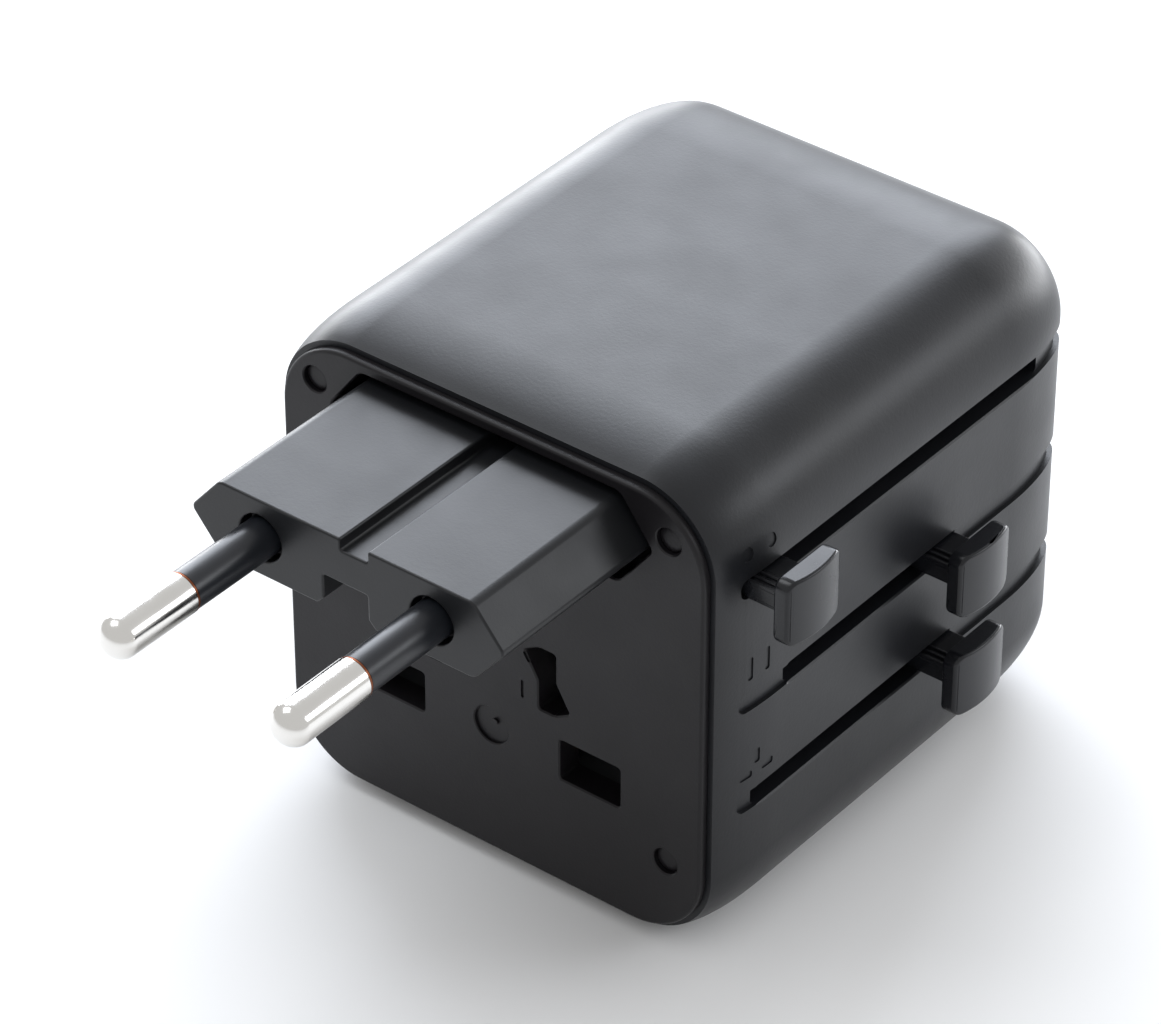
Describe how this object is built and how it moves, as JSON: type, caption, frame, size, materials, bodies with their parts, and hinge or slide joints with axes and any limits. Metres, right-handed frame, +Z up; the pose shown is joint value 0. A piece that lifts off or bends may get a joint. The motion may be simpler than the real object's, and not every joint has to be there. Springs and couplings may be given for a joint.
{
  "type": "universal travel adapter",
  "caption": "Block-shaped travel plug adapter with sliding round-pin, flat-blade and square-pin plugs, thumb tabs, a shuttered universal socket and charging ports.",
  "frame": {"origin": "on the flat side that the adapter rests on, centred across its width and at the middle of the shell's length", "axes": "+Z up from the resting side; -Y out of the plug face; +Y out of the socket face; +X out of the side with the slider slots"},
  "size_m": [0.0556, 0.0926, 0.0502],
  "materials": {
    "shell": "fine moulded texture",
    "plate": "fine moulded texture",
    "inner": "plain moulded",
    "sleeve": "smooth moulded",
    "nickel": "nickel plated",
    "brass": "stamped",
    "steel": "zinc plated",
    "laminate": "coated laminate",
    "ferrite": "sintered",
    "tape": "wound tape",
    "can": "sleeved can",
    "ceramic": "glazed ceramic"
  },
  "bodies": {
    "housing": {"shell": "shell", "fuse_cover": "shell", "plug_plate": "plate", "socket_plate": "plate", "screw_cover_lower_left": "plate", "screw_cover_lower_right": "plate", "screw_cover_upper_left": "plate", "screw_cover_upper_right": "plate", "guide_frame": "inner", "slider_guide": "inner", "usb_tongue_lower": "sleeve", "usb_tongue_upper": "sleeve", "controller": "sleeve", "fuse_cap_front": "nickel", "fuse_cap_rear": "nickel", "contact_clip_left": "brass", "contact_clip_right": "brass", "bus_bar_left": "brass", "bus_bar_right": "brass", "screw_lower_left": "steel", "screw_lower_right": "steel", "screw_upper_left": "steel", "screw_upper_right": "steel", "usb_shell_lower": "steel", "usb_shell_upper": "steel", "shutter_spring": "steel", "usb_board": "laminate", "power_board": "laminate", "transformer_core": "ferrite", "transformer_winding": "tape", "capacitor": "can", "fuse_tube": "ceramic"},
    "eu_plug": {"eu_block": "shell", "eu_pin_left": "nickel", "eu_pin_right": "nickel", "eu_sleeve_left": "sleeve", "eu_sleeve_right": "sleeve"},
    "us_plug": {"us_base": "inner"},
    "us_blade_unit_left": {"us_rotor_left": "shell", "us_blade_left": "nickel"},
    "us_blade_unit_right": {"us_rotor_right": "shell", "us_blade_right": "nickel"},
    "uk_plug": {"uk_frame": "inner", "uk_pin_left": "nickel", "uk_pin_right": "nickel", "uk_earth_pin": "shell"},
    "eu_thumb_tab": {"eu_tab": "shell"},
    "us_thumb_tab": {"us_tab": "shell"},
    "uk_thumb_tab": {"uk_tab": "shell"},
    "socket_shutter": {"shutter": "plate"}
  },
  "joints": [
    {"name": "eu_slide", "type": "slide", "parent": "housing", "child": "eu_plug", "axis": [0, 1, 0], "range_m": [0, 0.0383]},
    {"name": "us_slide", "type": "slide", "parent": "housing", "child": "us_plug", "axis": [0, -1, 0], "range_m": [0, 0.0202]},
    {"name": "uk_slide", "type": "slide", "parent": "housing", "child": "uk_plug", "axis": [0, -1, 0], "range_m": [0, 0.0244]},
    {"name": "us_blade_left_turn", "type": "hinge", "parent": "us_plug", "child": "us_blade_unit_left", "pos_m": [-0.00635, -0.0043, 0.02345], "axis": [0, 1, 0], "range_deg": [0, 30]},
    {"name": "us_blade_right_turn", "type": "hinge", "parent": "us_plug", "child": "us_blade_unit_right", "pos_m": [0.00635, -0.0043, 0.02345], "axis": [0, -1, 0], "range_deg": [0, 30]},
    {"name": "eu_press", "type": "slide", "parent": "eu_plug", "child": "eu_thumb_tab", "axis": [-1, 0, 0], "range_m": [0, 0.0018], "stiffness_N_per_m": 100, "springref_m": -0.0003},
    {"name": "us_press", "type": "slide", "parent": "us_plug", "child": "us_thumb_tab", "axis": [-1, 0, 0], "range_m": [0, 0.0018], "stiffness_N_per_m": 100, "springref_m": -0.0003},
    {"name": "uk_press", "type": "slide", "parent": "uk_plug", "child": "uk_thumb_tab", "axis": [-1, 0, 0], "range_m": [0, 0.0018], "stiffness_N_per_m": 100, "springref_m": -0.0003},
    {"name": "shutter_slide", "type": "slide", "parent": "housing", "child": "socket_shutter", "axis": [0, 0, 1], "range_m": [0, 0.0076], "stiffness_N_per_m": 30, "springref_m": -0.001, "deforming": ["shutter_spring"]}
  ]
}
